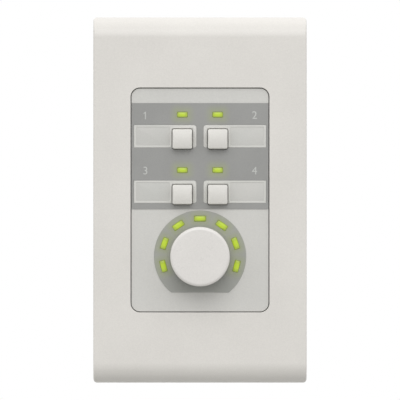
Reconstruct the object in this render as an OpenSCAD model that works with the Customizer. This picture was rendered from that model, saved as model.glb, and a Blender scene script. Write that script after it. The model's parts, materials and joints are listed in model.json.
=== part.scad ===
// Wall-mounted audio zone control panel: four zone keys with lamps and label fields, and a volume dial.
// Pieces are drawn in panel coordinates, x to the right, y up and z out of the wall, and then stood
// upright, so that the front looks along -Y and +Z is up. The origin is the middle of the wall face.

/* [Wall plate] */
// Width of the wall plate
plate_w = 70; // [66:0.5:78]
// Height of the wall plate
plate_h = 120; // [117:0.5:132]
// Height of the plate's face above the wall
plate_t = 9; // [8.5:0.1:10]
// Thickness of the plate's walls
plate_wall = 2; // [1.5:0.1:2.3]
// Radius of the rolled top and bottom ends
roll_r = 6.8; // [6.7:0.1:8.4]
// How far each roll reaches in from the end of the plate
roll_reach = 6.6; // [5:0.1:6.6]
// Corner radius of the plate seen from the front
plate_corner_r = 1.3; // [0.8:0.1:1.9]
// Rounding along the plate's long front edges
plate_edge_r = 0.6; // [0.3:0.1:1]
// Thickness of the collar round the plate's opening
collar_t = 1.4; // [1:0.1:2]
// Depth of the collar behind the plate's front wall
collar_d = 2.2; // [1.2:0.1:2.6]
// Thickness of the ribs behind the plate's ends
rib_t = 1.2; // [0.8:0.1:1.6]
// Height of those ribs
rib_h = 1.8; // [1:0.1:2.2]
// Distance between the two ribs of an end
rib_pitch = 22; // [16:1:30]
// Width of a snap hook
hook_w = 6; // [4:0.5:9]
// Thickness of a snap hook
hook_t = 1.2; // [0.9:0.1:1.5]
// How far the barb of a hook reaches under the sub-frame
hook_bite = 0.7; // [0.4:0.1:1]
// Room for a hook to bend away from the sub-frame
hook_room = 0.4; // [0.3:0.1:0.8]
// Clearance between the hooks and the sub-frame
hook_clear = 0.1; // [0.05:0.05:0.2]
// Distance of the hooks from the middle of the plate
hook_y = 30; // [20:1:42]
// Width of the pry notch in the bottom end
notch_w = 10; // [6:0.5:16]
// Height of the pry notch above the wall
notch_h = 1.4; // [0.8:0.1:2]

/* [Insert] */
// Width of the insert
insert_w = 45; // [44.8:0.1:48]
// Distance from the rear case's screws to the ends of the insert
insert_edge = 2.41; // [2.36:0.05:4]
// Corner radius of the insert
insert_r = 2.8; // [2:0.1:4]
// Gap between the insert and the wall plate
insert_gap = 0.25; // [0.15:0.05:0.5]
// How far the films lie behind the plate's face
insert_recess = 0.5; // [0:0.1:0.8]
// Thickness of the bezel's front wall
bezel_wall = 2; // [1.6:0.1:2.4]
// Thickness of the bezel's side walls
bezel_side = 1.6; // [1.2:0.1:1.8]
// Thickness of the printed films
film_t = 0.2; // [0.1:0.05:0.3]
// Margin of the key film inside the insert's sides
film_margin = 0.1; // [0.05:0.05:0.5]
// Width of the key film above the upper lamps' middles
film_head = 3.8; // [2.4:0.1:5]
// Lower edge of the key film below the plate's middle
film_bottom = 3; // [2.6:0.1:3.2]
// Length of a label field
label_w = 20.6; // [18:0.1:21]
// Height of a label field
label_h = 7.5; // [6:0.1:9]
// Height of a label field's middle above its key
label_rise = 0.9; // [0.3:0.1:1.5]
// Width of the web between two label fields
label_web = 2.2; // [1.6:0.1:2.8]
// Corner radius at the inner end of a label field
label_r = 1; // [0.5:0.1:2]

/* [Keys] */
// Width and height of a key cap
key_w = 6.5; // [5.8:0.1:7.2]
// Corner radius of a key cap
key_r = 0.7; // [0.4:0.1:1.2]
// How far a key stands out of the films
key_proud = 3.3; // [1.5:0.1:3.6]
// Rounding of a key cap's front edges
key_edge_r = 0.6; // [0.3:0.05:0.7]
// Radius of a key cap's crown from top to bottom
key_crown_r = 10; // [8:1:60]
// Gap round a key in its window
key_gap = 0.2; // [0.15:0.05:0.4]
// Travel of a key
key_travel = 0.5; // [0.3:0.1:0.7]
// Distance between the two columns of keys
key_pitch_x = 11.6; // [11:0.1:13]
// Distance of the upper row of keys below the circuit board's upper edge
key_row_edge = 10; // [9.4:0.1:10.5]
// Height of the lower row of keys above the plate's middle
key_low_y = 1.8; // [1.4:0.1:2.6]
// Thickness of the flange that keeps a key in
key_flange_t = 1.1; // [0.8:0.1:1.4]
// How far the flange reaches past the key's window
key_flange_lip = 0.6; // [0.4:0.1:0.9]
// Play between the flange and the bezel
key_play = 0.15; // [0.1:0.05:0.3]
// Diameter of a key's stem
key_stem_d = 4.4; // [3.6:0.1:5.5]

/* [Lamps] */
// Length of a key lamp
lamp_w = 3.4; // [2.8:0.1:4]
// Height of a key lamp
lamp_h = 1.8; // [1.4:0.1:2.2]
// Corner radius of the lamps
lamp_r = 0.35; // [0.2:0.05:0.6]
// Height of a lamp above its key
lamp_rise = 8; // [7.8:0.1:8.4]
// Radius of the arc of dial lamps
ring_r = 12.4; // [12.2:0.1:12.8]
// Length of a dial lamp
ring_lamp_w = 3.9; // [3:0.1:4.4]
// Height of a dial lamp
ring_lamp_h = 1.85; // [1.4:0.05:2.2]
// Number of dial lamps
ring_count = 7; // [3:2:7]
// Angle from one dial lamp to the next
ring_step = 35; // [30:0.5:36]
// Gap between a light pipe and its slot
lamp_gap = 0.05; // [0.05:0.01:0.1]
// Thickness of the light pipes' shoulders
lamp_seat = 1.2; // [0.8:0.1:1.4]
// How far the shoulders reach past the slots
lamp_lip = 0.7; // [0.5:0.1:0.8]
// Height of a lamp chip
chip_lamp_h = 0.9; // [0.6:0.1:1.2]
// Length of a lamp chip
chip_lamp_l = 3; // [2:0.1:3.2]
// Width of a lamp chip
chip_lamp_w = 1.5; // [1.2:0.1:1.8]
// Step from a lamp chip's body in to its lens
chip_lens_step = 0.25; // [0.1:0.05:0.4]
// Gap between a lamp chip and its light pipe
chip_lamp_gap = 0.4; // [0.2:0.1:0.8]
// Diameter of the posts that hold the dial's light guide
stake_d = 1.3; // [1:0.1:1.5]

/* [Dial] */
// Depth of the dial's centre below the plate's middle
dial_y = 18.5; // [18.3:0.1:18.8]
// Diameter of the knob
knob_d = 19.5; // [17:0.1:20.5]
// Height of the knob
knob_h = 10.5; // [10:0.5:14]
// Gap between the knob and the dial film
knob_gap = 0.8; // [0.5:0.1:1.5]
// Rounding of the knob's front edge
knob_edge_r = 1; // [0.6:0.1:1.6]
// Thickness of the knob's face and skirt
knob_wall = 1.8; // [1.4:0.1:2.4]
// Diameter of the knob's hub
knob_hub_d = 9.4; // [8.6:0.1:11]
// Thickness of the ribs between hub and skirt
knob_rib_t = 1; // [0.8:0.1:1.4]
// Number of ribs between hub and skirt
knob_ribs = 6; // [3:1:8]
// Number of grooves round the knob
groove_count = 72; // [24:1:80]
// Radius of a groove
groove_r = 0.3; // [0.2:0.05:0.35]
// Plain band between the grooves and the knob's rounded edge
knob_band = 0.4; // [0.2:0.1:1]
// Radius of the dial film
dial_film_r = 15.1; // [14.6:0.1:15.2]
// Distance of the dial film's flat from the dial's centre
dial_flat = 11.8; // [11:0.1:13]
// Diameter of the encoder's shaft
shaft_d = 6; // [5:0.1:6.35]
// Depth of the flat along the shaft's end
shaft_flat = 1.5; // [1:0.1:2]
// Length of the flat along the shaft
shaft_flat_l = 6.5; // [5:0.5:7]
// Height of the shaft's end above the circuit board
shaft_len = 17.5; // [17:0.5:18.5]
// Clearance between the shaft and its bush
shaft_clear = 0.03; // [0.02:0.01:0.06]
// Clearance between the shaft and the knob's bore
bore_clear = 0.04; // [0.02:0.01:0.06]
// Diameter of the encoder's bush
bush_d = 7.2; // [7:0.1:8]
// Height of the bush above the encoder's cover
bush_h = 3.8; // [2.5:0.1:4.2]
// Gap round the bush in the bezel
bush_gap = 0.3; // [0.2:0.05:0.5]
// Width and height of the encoder
encoder_w = 12; // [11:0.1:13]
// Height of the encoder's base
encoder_h = 4.4; // [4:0.1:4.8]
// Thickness of the encoder's cover
cover_t = 0.8; // [0.5:0.1:1]

/* [Board and switches] */
// Width of the circuit board
board_w = 40; // [39:0.1:40.2]
// Height of the circuit board
board_h = 60; // [59:0.1:60.4]
// Thickness of the circuit board
board_t = 1.6; // [1:0.1:2]
// Distance from the bezel's inside to the circuit board
board_drop = 7.3; // [7:0.1:8.5]
// Corner radius of the circuit board
board_r = 1; // [0.5:0.5:2]
// Diameter of the bosses that carry the circuit board
board_boss_d = 4.4; // [4:0.1:4.8]
// Diameter of the circuit board's screws
board_screw_d = 2; // [1.6:0.1:2.4]
// Length of the circuit board's screws below their heads
board_screw_l = 6; // [5:0.5:8]
// Distance of those screws from the board's edges
board_screw_edge = 2.5; // [2.4:0.1:3]
// Width of a switch housing
switch_w = 6.2; // [5.8:0.1:7]
// Height of a switch housing
switch_h = 3.4; // [3.2:0.1:3.6]
// Thickness of a switch's steel cover
switch_cover_t = 0.3; // [0.2:0.05:0.4]
// Height of a plunger's end above the circuit board
plunger_h = 5; // [4.7:0.1:5.2]
// Diameter of a plunger
plunger_d = 3.4; // [3:0.1:3.5]
// Width of a plunger's shoulder
plunger_lip = 0.5; // [0.3:0.1:0.6]
// Thickness of a plunger's shoulder
plunger_lip_t = 0.9; // [0.6:0.1:1.2]
// Clearance round a plunger
plunger_gap = 0.1; // [0.08:0.01:0.2]
// Thickness of sheet-metal pins and legs
pin_t = 0.3; // [0.2:0.05:0.4]
// Width of sheet-metal pins and legs
pin_w = 0.8; // [0.6:0.1:1]
// How far pins reach through the circuit board
pin_tail = 1; // [0.6:0.1:1.4]
// Distance of the chips' middles from the circuit board's sides
chip_edge = 7.4; // [6.6:0.1:8]
// Width and height of the controller chip
controller_w = 7; // [6:0.1:8]
// Thickness of the controller chip
controller_t = 1.2; // [1:0.1:1.6]
// Legs on each side of the controller chip
controller_legs = 8; // [6:1:8]
// Distance from one leg of the controller chip to the next
controller_pitch = 0.8; // [0.5:0.05:0.85]
// Width of the line driver chip
driver_w = 3.9; // [3.5:0.1:4.5]
// Height of the line driver chip
driver_h = 4.9; // [4.5:0.1:6]
// Thickness of the line driver chip
driver_t = 1.5; // [1.2:0.1:1.7]
// Distance from one leg of the line driver chip to the next
driver_pitch = 1.27; // [1.1:0.01:1.3]
// Length of a small passive part
passive_l = 2; // [1.6:0.1:2.4]
// Width of a small passive part
passive_w = 1.25; // [0.8:0.05:1.4]
// Height of a small passive part
passive_h = 0.9; // [0.6:0.1:1.2]
// Distance from one passive part to the next
passive_pitch = 4; // [3:0.1:4.4]
// Distance of the passive parts' rows from the encoder's pins and from the jacks
passive_gap = 3; // [2.6:0.1:3.2]

/* [Rear case] */
// Clearance round the circuit board in the rear case
case_clear = 0.3; // [0.2:0.1:0.5]
// Thickness of the rear case's walls
case_wall = 1.6; // [1.4:0.1:2]
// Depth of the rear case over the jacks
case_deep = 18; // [17.6:0.1:18.4]
// Depth of the rear case over the switch bank
case_shallow = 8.4; // [7.8:0.1:9]
// Where the deep part begins above the middle
case_step_y = 3.6; // [3:0.1:4.4]
// Corner radius of the rear case
case_r = 2; // [1:0.1:3]
// Width of the step between case and yoke opening
case_seat = 0.9; // [0.6:0.1:1.2]
// Thickness of the rear case's screw tabs
case_tab_t = 2.4; // [1.8:0.1:3]
// Diameter of the rear case's screws
case_screw_d = 2.2; // [2:0.1:2.4]
// Length of the rear case's screws below their heads
case_screw_l = 7; // [6:0.5:8]
// Diameter of the bosses and tabs for those screws
case_boss_d = 5; // [4.6:0.1:5.4]
// Distance between the left and right case screws
case_screw_pitch = 34; // [28:0.5:36]
// Number of vent slots in each side of the case
vent_count = 5; // [0:1:6]
// Width of a vent slot
vent_w = 1.5; // [1:0.1:2]
// Length of a vent slot
vent_l = 7; // [4:0.5:8]
// Distance from one vent slot to the next
vent_pitch = 4; // [3:0.5:4.5]

/* [Jacks] */
// Width of a jack
jack_w = 15.4; // [15:0.1:16]
// Height of a jack
jack_h = 13.4; // [13:0.1:14.5]
// Depth of a jack behind the circuit board
jack_d = 16; // [15.6:0.1:17]
// Distance between the two jacks
jack_pitch = 18.4; // [17.6:0.1:19]
// Height of the jacks above the plate's middle
jack_y = 15; // [14.6:0.1:16]
// Gap round a jack in the rear case
jack_gap = 0.2; // [0.1:0.05:0.4]
// Width of a jack's port
port_w = 11.8; // [11.7:0.05:12]
// Height of a jack's port
port_h = 6.8; // [6.6:0.05:7]
// Depth of a jack's port
port_d = 13; // [12:0.1:13.5]
// Width of the latch slot beside the port
latch_w = 6.2; // [6:0.1:6.6]
// Height of the latch slot
latch_h = 1.6; // [1.4:0.1:2]
// Distance from one contact to the next
contact_pitch = 1.02; // [1:0.01:1.05]
// Width of a contact spring
contact_w = 0.45; // [0.3:0.05:0.6]
// Thickness of a contact spring
contact_t = 0.35; // [0.25:0.05:0.4]
// Depth of the groove bed behind the contacts
comb_h = 0.8; // [0.6:0.1:1]
// Lean of the contact springs into the port
contact_lean = 16; // [12:1:18]

/* [Switch bank] */
// Distance from one slider to the next
dip_pitch = 2.54; // [2.4:0.02:2.7]
// Height of the switch bank
dip_h = 6.2; // [5.8:0.1:7]
// Depth of the switch bank behind the circuit board
dip_d = 4.4; // [4:0.1:5]
// Depth of the switch bank's middle below the plate's middle
dip_y = 2.6; // [2:0.1:3]
// Width of a slider
slider_w = 1.1; // [0.9:0.1:1.3]
// Length of a slider along its travel
slider_l = 1.5; // [1.2:0.1:1.8]
// Travel of a slider
slider_travel = 1.5; // [1:0.1:1.8]
// How far a slider stands out of the switch bank
slider_proud = 0.6; // [0.3:0.1:0.7]
// Depth of a slider's slot
slider_bed = 1.6; // [1:0.1:2]
// Clearance round a slider
slider_gap = 0.08; // [0.05:0.01:0.12]
// Gap round the switch bank in the rear case
dip_gap = 0.25; // [0.15:0.05:0.5]

/* [Yoke and sub-frame] */
// Thickness of the mounting yoke
yoke_t = 1.2; // [1:0.1:1.5]
// How far the yoke's middle reaches past the insert's sides
yoke_side = 4.5; // [3.5:0.1:6]
// How far the yoke's middle reaches past the insert's ends
yoke_lap = 2.9; // [2.4:0.1:5]
// Width of the yoke's ears
ear_w = 36; // [24:0.5:44]
// Gap between the ends of the yoke's ears and the plate
ear_gap = 3.5; // [2:0.1:4.5]
// Corner radius of the yoke
yoke_r = 3; // [1:0.5:5]
// Distance between the two wall-box screws
box_pitch = 83.3; // [80:0.1:86]
// Diameter of the wall-box screw holes
box_hole_d = 4.2; // [3.8:0.1:4.6]
// Diameter of the room for a wall-box screw's head
box_head_d = 8; // [7:0.1:8.5]
// Thickness of the sub-frame
frame_t = 2; // [1.6:0.1:2.4]
// Gap between the sub-frame's ends and the plate
frame_end_gap = 1.4; // [1:0.1:2.5]
// Gap round the insert in the sub-frame
frame_gap = 0.5; // [0.3:0.1:0.8]
// Height of the rim round the sub-frame
rim_h = 1; // [0.6:0.1:1.2]
// Thickness of that rim
rim_t = 1.2; // [0.8:0.1:1.6]
// Corner radius of the sub-frame
frame_r = 2; // [1:0.5:4]
// Distance of the sub-frame screws from the sub-frame's ends
frame_screw_edge = 6.6; // [5.5:0.1:7.5]
// Distance between the left and right sub-frame screws
frame_screw_pitch = 24; // [18:0.5:28]
// Diameter of the sub-frame screws
frame_screw_d = 3; // [2.5:0.1:3.5]
// Diameter of the sub-frame screws' heads
frame_head_d = 5.6; // [5:0.1:5.8]
// Length of the sub-frame screws, whose tips stay in front of the wall
frame_screw_l = 3; // [2.6:0.1:3.1]

/* [Hidden] */
$fn = 48;

// Overlap that joins two features of one piece, and the overshoot of cuts
join = 0.4;
over = 1;
// Clearance of a screw in the hole that it cuts, and in a hole that it passes
screw_fit = 0.05;
screw_pass = 0.2;

// Levels along z, from the wall outwards
z_yoke = yoke_t;
z_film = plate_t - insert_recess;
z_bezel = z_film - film_t;
z_inside = z_bezel - bezel_wall;
z_board = z_inside - board_drop;
z_back = z_board - board_t;
z_key = z_film + key_proud;
z_flange = z_inside - key_play;
z_plunger = z_board + plunger_h;
z_housing = z_board + switch_h;
z_seat = z_inside - lamp_seat;
z_foot = z_board + chip_lamp_h + chip_lamp_gap;
z_encoder = z_board + encoder_h;
z_cover = z_encoder + cover_t;
z_shaft = z_board + shaft_len;
z_knob = z_film + knob_gap;
z_frame = z_yoke + frame_t;
z_dip = z_back - dip_d;
z_jack = z_back - jack_d;

// Openings that follow what passes through them
hole_w = key_w + 2 * key_gap;
case_in_w = board_w + 2 * case_clear;
case_in_h = board_h + 2 * case_clear;
case_w = case_in_w + 2 * case_wall;
case_h = case_in_h + 2 * case_wall;
case_screw_y = case_h / 2 + pan_r(case_screw_d) + screw_pass;
insert_h = 2 * (case_screw_y + insert_edge);
open_w = insert_w + 2 * insert_gap;
open_h = insert_h + 2 * insert_gap;
open_r = insert_r + insert_gap;
yoke_w = insert_w + 2 * yoke_side;
yoke_mid_h = insert_h + 2 * yoke_lap;
yoke_h = plate_h - 2 * plate_wall - 2 * ear_gap;
yoke_open_w = case_w - 2 * case_seat;
yoke_open_h = case_h - 2 * case_seat;
frame_w = plate_w - 2 * plate_wall - 2 * (hook_t + hook_room + hook_clear);
frame_h = plate_h - 2 * plate_wall - 2 * frame_end_gap;

// Rows of keys, and the edge of the film above them
key_row_y = board_h / 2 - key_row_edge;
film_top = key_row_y + lamp_rise + film_head;

// Screw places
frame_screw_x = frame_screw_pitch / 2;
frame_screw_y = frame_h / 2 - frame_screw_edge;
board_screw_x = board_w / 2 - board_screw_edge;
board_screw_y = board_h / 2 - board_screw_edge;

// Encoder pins: three contacts below it, two above it and a lug on each side
encoder_pin_x = 2.5;
encoder_row = encoder_w / 2 + 1;
lug_w = 2;
lug_x = encoder_w / 2 + cover_t / 2;
collar_r = shaft_d / 2 + 1;

// Jack contacts: the row of pins lies in the wall below the port
contact_count = 8;
port_y = jack_y + (comb_h - latch_h) / 2;
contact_y = port_y - port_h / 2 - comb_h / 2;
comb_w = contact_count * contact_pitch + 0.5;

// Switch bank
dip_count = 6;
dip_w = dip_count * dip_pitch + 1;

function key_x(i) = (i % 2 == 1 ? -1 : 1) * key_pitch_x / 2;
function key_z(i) = i > 2 ? key_low_y : key_row_y;
function ring_angle(i) = (i - (ring_count - 1) / 2) * ring_step;
// Radius of a pan head on a screw of diameter d
function pan_r(d) = 0.95 * d;
// Sliders and jacks are numbered from left to right as seen from behind
function dip_x(i) = ((dip_count + 1) / 2 - i) * dip_pitch;

// Helpers

module on_wall() {
    rotate([90, 0, 0]) children();
}

module slab(from, to) {
    translate([0, 0, from]) linear_extrude(to - from) children();
}

module rounded_rect(w, h, r) {
    square([w - 2 * r, h], center = true);
    square([w, h - 2 * r], center = true);
    for (sx = [-1, 1], sy = [-1, 1])
        translate([sx * (w / 2 - r), sy * (h / 2 - r)]) circle(r);
}

// Repeats its child in the four corners at x, y
module four(x, y) {
    for (sx = [-1, 1], sy = [-1, 1]) translate([sx * x, sy * y]) children();
}

module at_keys(rise = 0) {
    for (i = [1:4]) translate([key_x(i), key_z(i) + rise]) children();
}

// Repeats its child along the arc of dial lamps, with its y axis pointing outwards
module at_ring() {
    for (i = [0:ring_count - 1])
        translate([0, -dial_y]) rotate(-ring_angle(i)) translate([0, ring_r]) children();
}

module lamp_outline(grow = 0) {
    rounded_rect(lamp_w + 2 * grow, lamp_h + 2 * grow, lamp_r + grow);
}

module ring_lamp_outline(grow = 0) {
    rounded_rect(ring_lamp_w + 2 * grow, ring_lamp_h + 2 * grow, lamp_r + grow);
}

// Crossed drive recess of a screw
module drive(size, deep) {
    for (a = [0, 90]) rotate(a) translate([-size / 2, -size / 8, 0]) cube([size, size / 4, deep]);
}

// Pan-head screw whose head rests on z = 0 and whose shank points along +z
module pan_screw(d, l) {
    difference() {
        union() {
            cylinder(d = d, h = l);
            rotate_extrude() intersection() {
                translate([0, -0.6 * d]) square([pan_r(d), 0.6 * d]);
                translate([0, 0.45 * d]) circle(1.12 * d);
            }
        }
        translate([0, 0, -0.6 * d - over]) drive(d, over + 0.36 * d);
    }
}

// Section of the plate, radius along x and width along y, with its two outer corners rounded
module roll_section(w, r, edge) {
    difference() {
        translate([0, -w / 2]) square([r, w]);
        if (edge > 0) for (s = [0, 1]) mirror([0, s]) translate([r - edge, w / 2 - edge]) difference() {
            square(edge + over);
            circle(edge);
        }
    }
}

// Block whose front face turns back at both ends round cylinders that share their axes
module rolled_block(w, h, r, edge, corner, from) {
    axis_y = plate_h / 2 - roll_reach;
    axis_z = plate_t - roll_r;
    intersection() {
        slab(from, plate_t + over) rounded_rect(w, h, corner);
        union() {
            translate([0, axis_y, axis_z]) rotate([90, 0, 0]) linear_extrude(2 * axis_y)
                rotate(90) roll_section(w, r, edge);
            translate([-w / 2, -h / 2, from]) cube([w, h, axis_z - from]);
            for (s = [0, 1]) mirror([0, s, 0]) translate([0, axis_y, axis_z])
                rotate([0, 90, 0]) rotate(90) rotate_extrude(angle = 90) roll_section(w, r, edge);
        }
    }
}

// Plate, sub-frame and yoke

// Cantilever hook that runs down beside the sub-frame and catches its underside
module snap_hook() {
    x = frame_w / 2 + hook_clear;
    catch = z_yoke - hook_clear;
    tip = catch / 3;
    rotate([90, 0, 0]) linear_extrude(hook_w, center = true) polygon([
        [x, plate_t - plate_wall + join], [x, catch], [x - hook_bite, catch], [x - hook_bite, 2 * tip],
        [x, tip], [x + hook_t, tip], [x + hook_t, plate_t - plate_wall + join]]);
}

module wall_plate() {
    rib_from = (open_h + collar_t) / 2;
    rib_to = (plate_h - plate_wall - roll_reach) / 2;
    color("#d9d7d3") on_wall() {
        difference() {
            rolled_block(plate_w, plate_h, roll_r, plate_edge_r, plate_corner_r, 0);
            rolled_block(plate_w - 2 * plate_wall, plate_h - 2 * plate_wall, roll_r - plate_wall, 0,
                plate_corner_r / 2, -over);
            slab(-over, plate_t + over) rounded_rect(open_w, open_h, open_r);
            translate([-notch_w / 2, -plate_h / 2 - over, -over])
                cube([notch_w, plate_wall + 2 * over, notch_h + over]);
        }
        slab(plate_t - plate_wall - collar_d, plate_t - plate_wall + join) difference() {
            rounded_rect(open_w + 2 * collar_t, open_h + 2 * collar_t, open_r + collar_t);
            rounded_rect(open_w, open_h, open_r);
        }
        for (sx = [-1, 1], sy = [0, 1]) mirror([0, sy, 0])
            translate([sx * rib_pitch / 2 - rib_t / 2, rib_from, plate_t - plate_wall - rib_h])
                cube([rib_t, rib_to - rib_from, rib_h + join]);
        for (sx = [0, 1], sy = [-1, 1]) mirror([sx, 0, 0]) translate([0, sy * hook_y, 0]) snap_hook();
    }
}

module sub_frame() {
    color("#c9c8c4") on_wall() difference() {
        union() {
            slab(z_yoke, z_frame) rounded_rect(frame_w, frame_h, frame_r);
            slab(z_yoke, z_frame + rim_h) difference() {
                rounded_rect(frame_w, frame_h, frame_r);
                rounded_rect(frame_w - 2 * rim_t, frame_h - 2 * rim_t, max(frame_r - rim_t, 0.3));
            }
        }
        slab(z_yoke - over, z_frame + over) {
            rounded_rect(insert_w + 2 * frame_gap, insert_h + 2 * frame_gap, insert_r + frame_gap);
            for (s = [-1, 1]) translate([0, s * box_pitch / 2]) circle(d = box_head_d);
            square([box_head_d, box_pitch], center = true);
        }
        four(frame_screw_x, frame_screw_y) {
            translate([0, 0, z_yoke - over])
                cylinder(d = frame_screw_d + 2 * screw_pass, h = frame_t + 2 * over);
            translate([0, 0, z_frame - (frame_head_d - frame_screw_d) / 2 - screw_fit])
                cylinder(d1 = frame_screw_d, d2 = frame_head_d, h = (frame_head_d - frame_screw_d) / 2);
            translate([0, 0, z_frame - screw_fit]) cylinder(d = frame_head_d, h = over);
        }
    }
}

module frame_screws() {
    head_h = (frame_head_d - frame_screw_d) / 2;
    color("#b9bcc0") on_wall() four(frame_screw_x, frame_screw_y) difference() {
        union() {
            translate([0, 0, z_frame - frame_screw_l]) cylinder(d = frame_screw_d, h = frame_screw_l - join);
            translate([0, 0, z_frame - head_h - screw_fit])
                cylinder(d1 = frame_screw_d, d2 = frame_head_d, h = head_h);
        }
        translate([0, 0, z_frame - head_h]) drive(frame_screw_d, head_h + over);
    }
}

module mounting_yoke() {
    color("#a9acaf") on_wall() slab(0, yoke_t) difference() {
        union() {
            rounded_rect(yoke_w, yoke_mid_h, yoke_r);
            rounded_rect(ear_w, yoke_h, yoke_r);
        }
        rounded_rect(yoke_open_w, yoke_open_h, case_r);
        for (s = [-1, 1]) translate([0, s * box_pitch / 2]) circle(d = box_hole_d);
        four(frame_screw_x, frame_screw_y) circle(d = frame_screw_d + 2 * screw_fit);
        four(case_screw_pitch / 2, case_screw_y) circle(d = case_screw_d + 2 * screw_pass);
    }
}

// Insert with its films

module front_bezel() {
    room_w = insert_w - 2 * bezel_side;
    room_h = insert_h - 2 * bezel_side;
    color("#c7c6c2") on_wall() difference() {
        intersection() {
            slab(z_board, z_bezel) rounded_rect(insert_w, insert_h, insert_r);
            union() {
                slab(z_yoke, z_bezel) difference() {
                    rounded_rect(insert_w, insert_h, insert_r);
                    rounded_rect(room_w, room_h, insert_r - bezel_side / 2);
                }
                slab(z_inside, z_bezel) square([insert_w, insert_h], center = true);
                slab(z_yoke, z_inside + join) four(case_screw_pitch / 2, case_screw_y)
                    circle(d = case_boss_d);
                slab(z_board, z_inside + join) four(board_screw_x, board_screw_y) circle(d = board_boss_d);
                slab(z_seat - stake_d / 2, z_inside + join) for (s = [-1, 1])
                    stake_place(s) circle(d = stake_d);
            }
        }
        slab(z_inside - over, z_bezel + over) {
            at_keys() rounded_rect(hole_w, hole_w, key_r + key_gap);
            at_keys(lamp_rise) lamp_outline(lamp_gap);
            at_ring() ring_lamp_outline(lamp_gap);
            translate([0, -dial_y]) circle(d = bush_d + 2 * bush_gap);
        }
        slab(z_yoke - over, z_inside + bezel_wall / 4) four(case_screw_pitch / 2, case_screw_y)
            circle(d = case_screw_d + 2 * screw_fit);
        slab(z_board - over, z_inside) four(board_screw_x, board_screw_y)
            circle(d = board_screw_d + 2 * screw_fit);
    }
}

// Places of the posts that hold the dial's light guide, between the last two lamps of each side
module stake_place(side) {
    translate([0, -dial_y]) rotate(side * ring_step * (ring_count / 2 - 1)) translate([0, ring_r]) children();
}

// Label field beside a key, square at the insert's edge and rounded at the web
module label_field() {
    translate([label_web / 2 + label_w / 2, 0]) {
        rounded_rect(label_w, label_h, label_r);
        translate([label_w / 4, 0]) square([label_w / 2, label_h], center = true);
    }
}

module key_film() {
    color("#9d9e9b") on_wall() slab(z_bezel, z_film) difference() {
        translate([0, (film_top - film_bottom) / 2])
            square([insert_w - 2 * film_margin, film_top + film_bottom], center = true);
        for (i = [1:4]) translate([0, key_z(i) + label_rise]) mirror([i % 2, 0]) label_field();
        at_keys() rounded_rect(hole_w, hole_w, key_r + key_gap);
        at_keys(lamp_rise) lamp_outline(lamp_gap);
    }
}

module dial_film() {
    color("#9d9e9b") on_wall() slab(z_bezel, z_film) difference() {
        translate([0, -dial_y]) intersection() {
            circle(dial_film_r);
            translate([-dial_film_r - over, -dial_flat])
                square([2 * dial_film_r + 2 * over, dial_flat + dial_film_r + over]);
        }
        at_ring() ring_lamp_outline(lamp_gap);
        translate([0, -dial_y]) circle(d = bush_d + 2 * bush_gap);
    }
}

// Keys and switches

// Side view of a key cap: a crown that runs into rounded edges
module key_crown() {
    c_y = key_w / 2 - key_edge_r;
    c_z = z_key - key_crown_r + sqrt(pow(key_crown_r - key_edge_r, 2) - c_y * c_y);
    touch_y = c_y * key_crown_r / (key_crown_r - key_edge_r);
    intersection() {
        translate([0, z_key - key_crown_r]) circle(key_crown_r, $fn = 360);
        translate([-touch_y, z_flange - join]) square([2 * touch_y, z_key]);
    }
    translate([-key_w / 2, z_flange - join]) square([key_w, c_z - z_flange + join]);
    for (s = [-1, 1]) translate([s * c_y, c_z]) circle(key_edge_r);
}

// End view of a key cap, straight across with rounded edges
module key_end() {
    translate([-key_w / 2, z_flange - join]) square([key_w, z_key - key_edge_r - z_flange + join]);
    translate([-key_w / 2 + key_edge_r, z_flange - join])
        square([key_w - 2 * key_edge_r, z_key - z_flange + join]);
    for (s = [-1, 1]) translate([s * (key_w / 2 - key_edge_r), z_key - key_edge_r]) circle(key_edge_r);
}

module key_piece(i) {
    flange_w = hole_w + 2 * key_flange_lip;
    color("#dedcd7") on_wall() translate([key_x(i), key_z(i), 0]) {
        intersection() {
            slab(z_flange - join, z_key + over) rounded_rect(key_w, key_w, key_r);
            rotate([90, 0, 90]) linear_extrude(key_w + 2 * over, center = true) key_crown();
            rotate([90, 0, 0]) linear_extrude(key_w + 2 * over, center = true) key_end();
        }
        slab(z_flange - key_flange_t, z_flange) rounded_rect(flange_w, flange_w, key_r + key_gap);
        slab(z_plunger, z_flange - key_flange_t + join) circle(d = key_stem_d);
    }
}

module plunger(i) {
    top = z_housing - plunger_gap;
    color("#3a3a3c") on_wall() translate([key_x(i), key_z(i), 0]) {
        slab(top - plunger_lip_t, z_plunger) circle(d = plunger_d);
        slab(top - plunger_lip_t, top) circle(d = plunger_d + 2 * plunger_lip);
    }
}

module switch_housings() {
    bed = z_housing - plunger_gap - plunger_lip_t - key_travel - plunger_gap;
    color("#2b2b2d") on_wall() at_keys() difference() {
        slab(z_board, z_housing) rounded_rect(switch_w, switch_w, 0.5);
        slab(bed, z_housing + over) circle(d = plunger_d + 2 * plunger_lip + 2 * plunger_gap);
    }
}

// Steel covers, and the four legs of each switch
module switch_covers() {
    color("#c4c6c8") on_wall() at_keys() {
        slab(z_housing, z_housing + switch_cover_t) difference() {
            rounded_rect(switch_w - switch_cover_t, switch_w - switch_cover_t, 0.4);
            circle(d = plunger_d + 2 * plunger_gap);
        }
        for (sx = [0, 1], sy = [-1, 1]) mirror([sx, 0]) translate([switch_w / 2, sy * switch_w / 3, 0])
            rotate([90, 0, 0]) linear_extrude(pin_w, center = true) {
                translate([0, z_board]) square([pin_w + pin_t, pin_t]);
                translate([0, z_board]) square([pin_t, switch_h / 2]);
            }
    }
}

// Lamps

module key_light_pipes() {
    color("#b4c456") on_wall() at_keys(lamp_rise) {
        slab(z_foot, z_film) lamp_outline();
        slab(z_seat, z_inside) rounded_rect(lamp_w + 2 * lamp_lip, lamp_h + 2 * lamp_lip, lamp_r);
    }
}

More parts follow.
